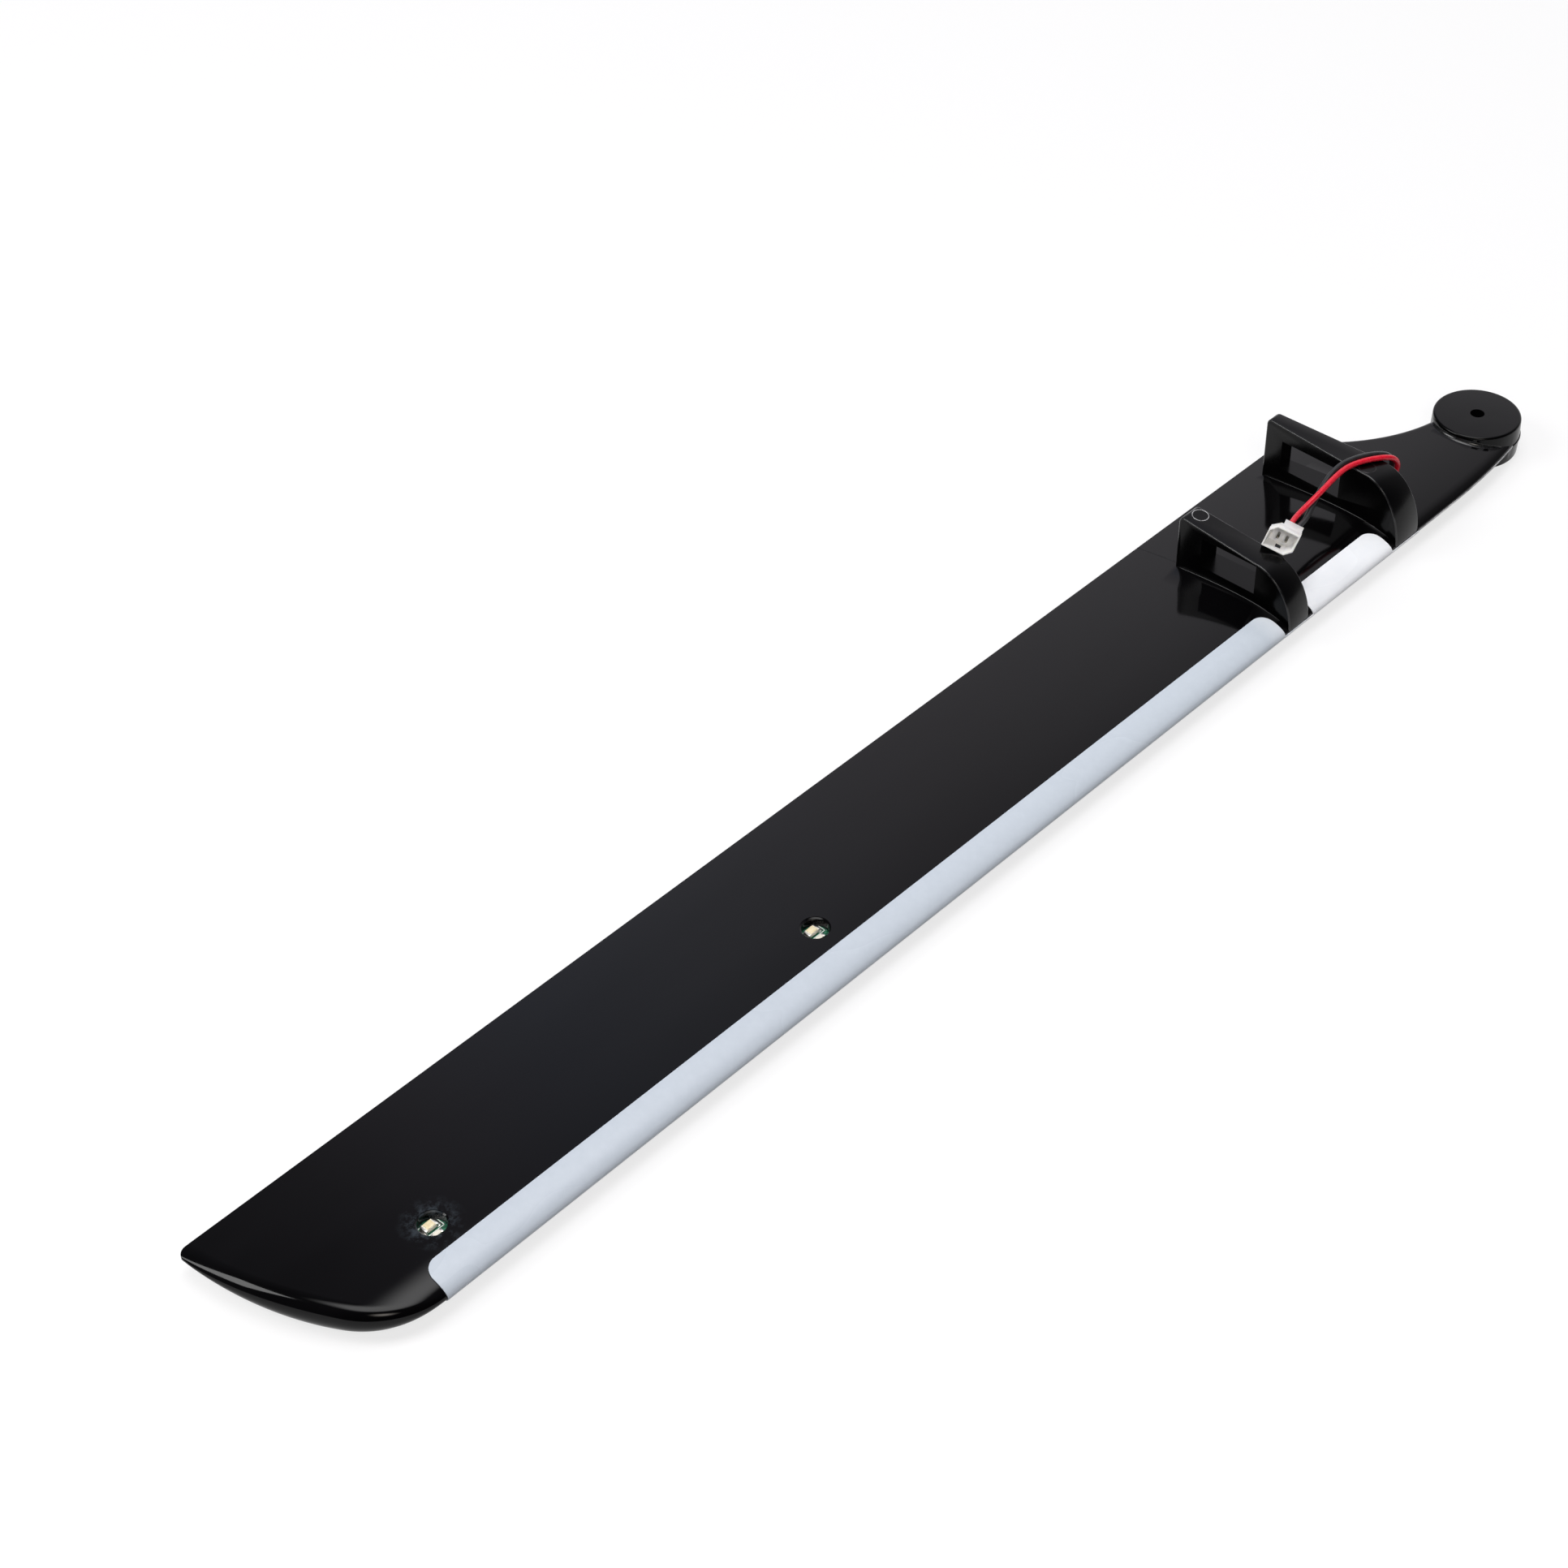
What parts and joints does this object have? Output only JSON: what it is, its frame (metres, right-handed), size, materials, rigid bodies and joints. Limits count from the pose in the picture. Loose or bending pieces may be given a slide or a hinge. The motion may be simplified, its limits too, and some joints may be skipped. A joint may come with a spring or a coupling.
{
  "type": "helicopter rotor blade",
  "caption": "Model helicopter rotor blade with a bored round root, moulded battery clips on its underside, lights along the span, a wrap film and a short lead with a connector.",
  "frame": {"origin": "middle of the root bore, at the middle of the boss's thickness", "axes": "+X from the bore along the span to the tip, +Y to the leading edge, +Z along the bore out of the underside with the battery clips"},
  "size_m": [0.2364, 0.0271, 0.0149],
  "materials": {
    "blade_plastic": "gloss moulded",
    "cover_plastic": "gloss moulded",
    "film": "gloss film",
    "circuit_board": "solder mask",
    "light_chip": "matt",
    "red_insulation": "satin",
    "black_insulation": "satin",
    "connector_plastic": "satin",
    "pin_metal": "plated"
  },
  "bodies": {
    "root": {"blade": "blade_plastic", "channel_cover": "cover_plastic", "wrap_film": "film", "mid_light_board": "circuit_board", "tip_light_board": "circuit_board", "mid_upper_light": "light_chip", "mid_lower_light": "light_chip", "tip_upper_light": "light_chip", "tip_lower_light": "light_chip", "positive_feed_wire": "red_insulation", "negative_feed_wire": "black_insulation", "positive_link_wire": "red_insulation", "negative_link_wire": "black_insulation", "red_lead": "red_insulation", "black_lead": "black_insulation", "connector_housing": "connector_plastic", "positive_pin": "pin_metal", "negative_pin": "pin_metal"}
  },
  "joints": []
}
